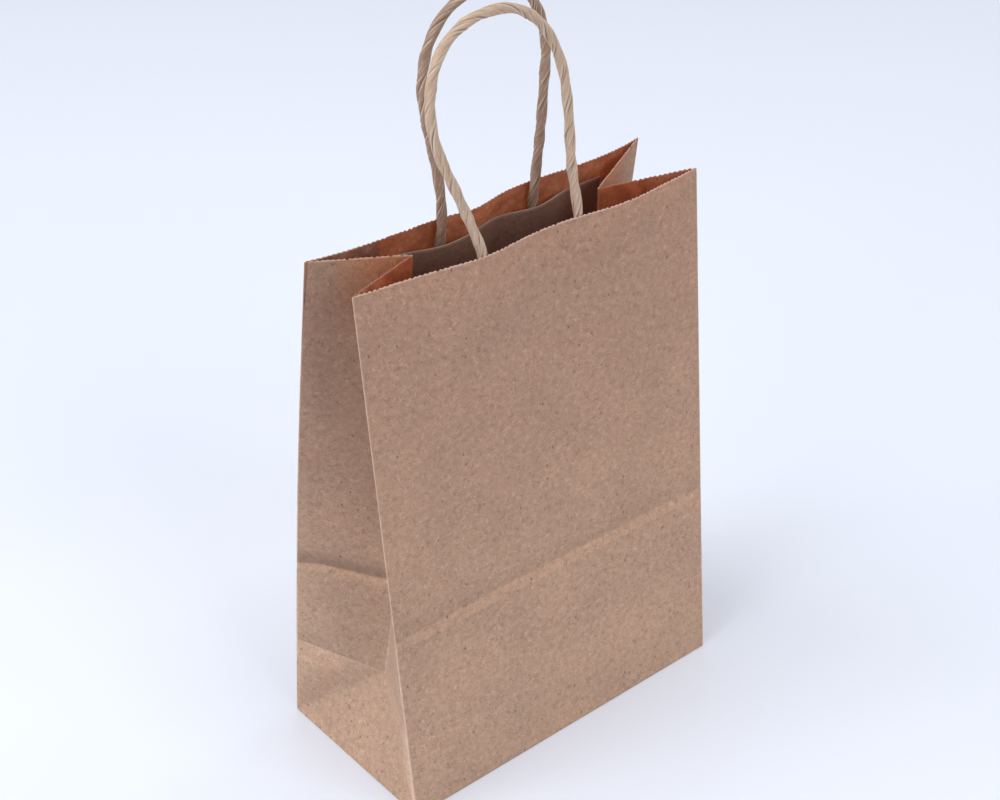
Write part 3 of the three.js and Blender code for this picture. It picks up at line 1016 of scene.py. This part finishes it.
@dataclass
class HandlePatch:
    """A folded strip glued inside a wide panel, over the two ends of a cord.

    Attributes:
        shape: The form of the bag.
        panel: The panel that it is glued to.
        finish: What it is made of.
        middle: Where its middle is across the panel, in millimetres.
        width: Its length across the panel.
        height: How tall it is.
        drop: How far its top edge is below the bag's.
        plies: How many layers of paper it is.
        cord: The cord's thickness.
        inset: How far the cord's end is above its lower edge.
        gap: How far it lies off the panel.
        slope: How far it takes to come down beside a cord.
    """

    shape: Shape
    panel: Panel
    finish: KraftFinish
    middle: float = -3
    width: float = 150
    height: float = 45
    drop: float = 11.5
    plies: int = 2
    cord: float = 5.2
    inset: float = 8
    gap: float = 0.3
    slope: float = 24

    @property
    def name(self) -> str:
        """Returns the piece's name."""
        return f"{self.panel.side}_patch_strip"

    @property
    def foot(self) -> float:
        """Returns the height of its lower edge."""
        return self.shape.height - self.drop - self.height

    def arch(self, x: float, s: float) -> float:
        """Returns how far the strip arches over the cords at a place on the panel."""
        away = min(abs(x - leg) for leg in self.panel.legs)
        across = min(1.0, away / (self.cord / 2 + self.slope))
        pinch = 0.5 * (1 + math.cos(math.pi * across))
        rise = ramp(s, self.foot, self.foot + self.inset * 0.9)
        return (self.cord + 3.2 * self.gap) * pinch * rise

    def build(self) -> bpy.types.Object:
        """Lays the strip in the bag and returns the piece."""
        across, up = round(self.width / 1.1), round(self.height / 1.8)
        strip = bmesh.new()
        bmesh.ops.create_grid(strip, x_segments=across, y_segments=up, size=0.5)
        blank, worn, tone = paper_layers(strip)
        thick, key = self.plies * self.shape.paper, self.panel.face.value
        for vertex in strip.verts:
            x = self.middle + vertex.co.x * self.width
            s = self.foot + (vertex.co.y + 0.5) * self.height
            vertex[blank] = (x + 900, s + 400 * key, 0)
            vertex[worn] = 0.5 * ramp(s, self.foot + self.height - 1.2, self.foot + self.height)
            vertex[tone] = (1, 1, 1)
            ripple = 0.2 * noise.noise(Vector((x / 13, s / 19, 4 * key)))
            off = self.gap + self.arch(x, s) + thick + abs(ripple)
            vertex.co = self.shape.inside(self.panel, x, s, off)
        if self.panel.face is Face.FRONT:
            bmesh.ops.reverse_faces(strip, faces=strip.faces)
        bmesh.ops.transform(strip, matrix=Matrix.Scale(MM, 4), verts=strip.verts)
        piece = new_piece(self.name, strip)
        thicken(piece, thick * MM)
        soften(piece, 50)
        piece.data.materials.append(self.finish.material())
        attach(piece, BODY)
        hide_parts(f"{self.panel.side}_handle_patch")
        return piece


class Route:
    """A smooth line through chosen points, evenly paced: a centripetal Catmull-Rom spline."""

    PARTS = 24

    def __init__(self, points: Sequence[Vector], step: float) -> None:
        """Paces the line out.

        Args:
            points: What it passes through, in millimetres.
            step: About how far apart its stations are.
        """
        ends = [points[0] * 2 - points[1], *points, points[-1] * 2 - points[-2]]
        spans = [ends[i : i + 4] for i in range(len(ends) - 3)]
        rough = [self.between(span, part / self.PARTS) for span in spans for part in range(self.PARTS)]
        rough.append(points[-1].copy())
        lengths = [0.0]
        for before, after in zip(rough, rough[1:]):
            lengths.append(lengths[-1] + (after - before).length)
        self.length = lengths[-1]
        self.stations = []
        at = 0
        for way in stops(0, self.length, step):
            while at < len(lengths) - 2 and lengths[at + 1] < way:
                at += 1
            share = (way - lengths[at]) / (lengths[at + 1] - lengths[at])
            self.stations.append((way, rough[at].lerp(rough[at + 1], share)))

    @staticmethod
    def between(four: Sequence[Vector], share: float) -> Vector:
        """Returns a point between the middle two of four points."""
        knots = [0.0]
        for before, after in zip(four, four[1:]):
            knots.append(knots[-1] + math.sqrt((after - before).length))
        at = lerp(knots[1], knots[2], share)

        def mix(first: Vector, second: Vector, low: float, high: float) -> Vector:
            """Returns the blend of two points by where the place is between two knots."""
            return first.lerp(second, (at - low) / (high - low))

        rise = [mix(four[i], four[i + 1], knots[i], knots[i + 1]) for i in range(3)]
        bend = [mix(rise[i], rise[i + 1], knots[i], knots[i + 2]) for i in range(2)]
        return mix(bend[0], bend[1], knots[1], knots[2])

    def frames(self) -> list[tuple[float, Vector, Vector, Vector]]:
        """Returns each station's way along, its place and the two directions across it, untwisted."""
        places = [place for _, place in self.stations]
        last = len(places) - 1
        across = Vector((0, 1, 0))
        frames = []
        for index, (way, place) in enumerate(self.stations):
            along = (places[min(last, index + 1)] - places[max(0, index - 1)]).normalized()
            across = (across - along * across.dot(along)).normalized()
            frames.append((way, place, across, along.cross(across)))
        return frames


@dataclass
class TwistedHandle:
    """A handle: a strip of paper twisted tightly into cord and bent into a loop.

    Attributes:
        patch: The patch that holds its ends, and the panel behind that.
        finish: What it is made of.
        turn: How far along the cord the twist goes round once, in millimetres.
        step: How far apart its rings are.
        sides: How many faces each ring has.
        lobe: How far the section is flattened between its two crests, as a share of the radius.
        pleats: How many pleats run along it.
        groove: How deep they are, as a share of the radius.
    """

    PLEAT_WIDTH = 0.13
    LIP_PLACE = 0.3
    LIP_WIDTH = 0.17
    LIP = 0.05
    CREST = 0.965

    patch: HandlePatch
    finish: CordFinish
    turn: float = 32
    step: float = 0.7
    sides: int = 60
    lobe: float = 0.15
    pleats: int = 9
    groove: float = 0.15

    @property
    def name(self) -> str:
        """Returns the piece's name."""
        return f"{self.patch.panel.side}_twisted_cord"

    @property
    def key(self) -> int:
        """Returns a number that keeps the two cords unlike each other."""
        return 40 * self.patch.panel.face.value

    def route(self) -> Route:
        """Returns the cord's centre line: up out of the patch, round the loop and down again."""
        patch, shape, panel = self.patch, self.patch.shape, self.patch.panel
        off = patch.gap + patch.cord / 2
        foot = patch.foot + patch.inset
        rises = [lerp(foot, shape.height, share / 3) for share in range(3)]
        left, right = panel.legs
        mouths = [shape.inside(panel, x, shape.height, off) for x in panel.legs]
        tilt = math.radians(panel.tilt)
        loop = []
        for x, up in panel.loop:
            share = min(1.0, max(0.0, (x - left) / (right - left)))
            mouth = mouths[0].lerp(mouths[1], share)
            y = mouth.y - panel.face.value * up * math.sin(tilt)
            loop.append(Vector((x, y, mouth.z + up * math.cos(tilt))))
        legs = [[shape.inside(panel, x, s, off) for s in rises] for x in panel.legs]
        return Route([*legs[0], *loop, *reversed(legs[1])], self.step)

    def pleats_at(self, way: float) -> list[tuple[float, float]]:
        """Returns the angle of each pleat, with the twist taken out, and how deep it is there."""
        pleats = []
        for index in range(self.pleats):
            drift = 1.8 * noise.noise(Vector((way / 26, self.key, 3 * index)))
            depth = ramp(noise.noise(Vector((way / 13, self.key + 9, 5 * index))), -0.12, 0.3)
            pleats.append((math.tau * index / self.pleats + drift, depth))
        return pleats

    def relief(self, angle: float, way: float, pleats: Sequence[tuple[float, float]]) -> tuple[float, ...]:
        """Works out the twisted surface.

        Args:
            angle: Round the section, in radians.
            way: Along the cord, in millimetres.
            pleats: Each pleat's angle and depth there.

        Returns:
            The radius as a share of the cord's, the angle with the twist taken out, how deep in a
            pleat the place is, and how far up on a pleat's lip.
        """
        wander = 0.16 * noise.noise(Vector((way / 26, self.key, 0)))
        turned = angle - math.tau * (way / self.turn + wander)
        crest = 0.5 * (1 - math.cos(2 * turned))
        deep = lip = 0.0
        for spot, depth in pleats:
            away = math.remainder(turned - spot, math.tau)
            deep = max(deep, depth * math.exp(-((away / self.PLEAT_WIDTH) ** 2)))
            lip = max(lip, depth * math.exp(-(((away - self.LIP_PLACE) / self.LIP_WIDTH) ** 2)))
        swell = 0.03 * noise.noise(Vector((way / 9, self.key, 3)))
        share = self.CREST - self.lobe * crest - self.groove * deep + self.LIP * lip + swell
        return share, turned, deep, lip

    def build(self) -> bpy.types.Object:
        """Rolls the cord along its route and returns the piece."""
        frames = self.route().frames()
        strip = bmesh.new()
        bmesh.ops.create_grid(strip, x_segments=len(frames) - 1, y_segments=self.sides, size=0.5)
        twist = strip.verts.layers.float_vector.new("twist")
        pleat, lip = (strip.verts.layers.float.new(name) for name in ("pleat", "lip"))
        radius = self.patch.cord / 2
        pleats = [self.pleats_at(way) for way, *_ in frames]
        for vertex in strip.verts:
            ring = round((vertex.co.x + 0.5) * (len(frames) - 1))
            way, place, across, beside = frames[ring]
            angle = math.tau * round((vertex.co.y + 0.5) * self.sides) / self.sides
            share, turned, vertex[pleat], vertex[lip] = self.relief(angle, way, pleats[ring])
            vertex[twist] = (radius * math.cos(turned), radius * math.sin(turned), way)
            out = across * math.cos(angle) + beside * math.sin(angle)
            vertex.co = (place + out * radius * share) * MM
        bmesh.ops.remove_doubles(strip, verts=strip.verts, dist=1e-3 * MM)
        ends = [edge for edge in strip.edges if edge.is_boundary]
        bmesh.ops.holes_fill(strip, edges=ends, sides=0)
        bmesh.ops.recalc_face_normals(strip, faces=strip.faces)
        piece = new_piece(self.name, strip)
        soften(piece, 70)
        piece.data.materials.append(self.finish.material())
        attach(piece, BODY)
        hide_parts(f"{self.patch.panel.side}_handle")
        return piece


@dataclass(frozen=True)
class Softbox:
    """A large soft lamp.

    Attributes:
        name: The lamp's name.
        place: Where it stands, in metres.
        size: How wide it is, in metres.
        watts: How strong it is.
        colour: Its colour.
    """

    name: str
    place: tuple[float, float, float]
    size: float
    watts: float
    colour: tuple[float, float, float]

    def build(self, target: Vector) -> None:
        """Stands the lamp up, turned to a target."""
        lamp = bpy.data.lights.new(self.name, "AREA")
        lamp.energy, lamp.size, lamp.color = self.watts, self.size, self.colour
        holder = bpy.data.objects.new(self.name, lamp)
        holder.location = self.place
        holder.rotation_euler = (target - Vector(self.place)).to_track_quat("-Z", "Y").to_euler()
        bpy.context.scene.collection.objects.link(holder)


@dataclass
class Studio:
    """The floor, the light and the camera round the bag.

    Attributes:
        floor: The floor's finish.
        lamps: The soft lamps.
        sky: The colour of the light from all round.
        sky_strength: How strong that light is.
        backdrop: The colour that is seen beyond the floor.
        camera_place: Where the camera stands, in metres.
        azimuth: Which way it looks, in degrees: 0 is along +Y.
        elevation: How far it looks down, in degrees.
        roll: How far it is turned about its view, in degrees.
        lens: Its focal length on a 36 mm sensor, in millimetres.
        floor_radius: How far the floor reaches, in metres.
        floor_gap: How far it lies below the base, clear of its folds, in millimetres.
    """

    floor: FloorFinish
    lamps: tuple[Softbox, ...]
    sky: tuple = srgb(248, 250, 255)
    sky_strength: float = 0.02
    backdrop: tuple = srgb(236, 241, 250)
    camera_place: tuple[float, float, float] = (-0.5256, -0.5908, 0.7053)
    azimuth: float = -41.27
    elevation: float = 33.74
    roll: float = 1.134
    lens: float = 70.8
    floor_radius: float = 1.9
    floor_gap: float = 0.15

    def camera(self) -> None:
        """Sets the camera up at the photograph's angle."""
        turn, rise, roll = (math.radians(value) for value in (self.azimuth, self.elevation, self.roll))
        back = Vector((math.sin(turn) * math.cos(rise), -math.cos(turn) * math.cos(rise), math.sin(rise)))
        level = Vector((math.cos(turn), math.sin(turn), 0))
        upright = back.cross(level)
        right = level * math.cos(roll) + upright * math.sin(roll)
        up = upright * math.cos(roll) - level * math.sin(roll)
        data = bpy.data.cameras.new("camera")
        data.lens, data.sensor_width, data.clip_start = self.lens, SENSOR, 0.01
        camera = bpy.data.objects.new("camera", data)
        bpy.context.scene.collection.objects.link(camera)
        turned = Matrix((right, up, back)).transposed().to_4x4()
        camera.matrix_world = Matrix.Translation(self.camera_place) @ turned
        bpy.context.scene.camera = camera

    def world(self) -> None:
        """Lights the bag softly from all round, and shows a pale backdrop beyond the floor."""
        bench = NodeBench(bpy.data.worlds.new("sky"))
        light = bench.add("Background", {"Color": self.sky, "Strength": self.sky_strength})
        seen = bench.add("Background", {"Color": self.backdrop})
        rays = bench.add("LightPath").outputs
        share = rays["Is Camera Ray"]
        for kind in ("Is Glossy Ray", "Is Transmission Ray"):
            share = bench.math("MAXIMUM", share, rays[kind])
        mix = bench.add("MixShader", {0: share, 1: light.outputs[0], 2: seen.outputs[0]})
        bpy.context.scene.world = bench.finish(mix.outputs[0])

    def build(self, target: Vector) -> None:
        """Lays the floor, stands the lamps up and sets the camera.

        Args:
            target: What the lamps are turned to, in metres.
        """
        ground = bmesh.new()
        below = Matrix.Translation((0, 0, -self.floor_gap * MM))
        bmesh.ops.create_circle(ground, cap_ends=True, segments=96, radius=self.floor_radius, matrix=below)
        floor = new_piece("floor", ground)
        floor.data.materials.append(self.floor.material())
        for lamp in self.lamps:
            lamp.build(target)
        self.world()
        self.camera()
        bpy.context.scene.view_settings.view_transform = "Standard"


def box_sizes() -> tuple[float, float]:
    """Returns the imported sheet's width and depth, in whole millimetres."""
    low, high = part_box("folded_sheet")
    return tuple(float(round((high[axis] - low[axis]) / MM)) for axis in (0, 1))


def main() -> None:
    """Builds the bag and the studio round it, in order."""
    logging.basicConfig(level=logging.INFO, format="%(message)s")
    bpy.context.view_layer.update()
    width, depth = box_sizes()
    shape = Shape(width=width, depth=depth)
    kraft = KraftFinish("kraft_paper")
    strip = KraftFinish("patch_kraft", pulp=srgb(150, 121, 106), through=0.06)
    cords = {
        Face.FRONT: CordFinish("twisted_kraft"),
        # The back cord's darker colours are painted shade, a shaded copy of the front cord's finish.
        Face.BACK: CordFinish("painted_shade_twisted_kraft", pulp=srgb(154, 126, 107), hollow=srgb(122, 95, 79)),
    }
    pieces = [FoldedSheet(shape, kraft).build()]
    for panel in (FRONT, BACK):
        patch = HandlePatch(shape, panel, strip)
        pieces += [patch.build(), TwistedHandle(patch, cords[panel.face]).build()]
    for piece in pieces:
        log.info("%s: %d faces", piece.name, len(piece.data.polygons))
    lamps = (
        Softbox("over", (0.0, 0.2, 2.4), 2.6, 43, WHITE),
        Softbox("left", (-2.3, 0.1, 1.1), 2.0, 36, WHITE),
        Softbox("back_left", (-1.7, 1.5, 1.5), 2.0, 22, WHITE),
        Softbox("front", (0.3, -2.4, 1.3), 2.0, 32, WHITE),
        Softbox("right", (2.3, -0.5, 1.3), 2.0, 17, WHITE),
    )
    Studio(FloorFinish(), lamps).build(Vector((0, 0, 0.15)))


if __name__ == "__main__":
    main()
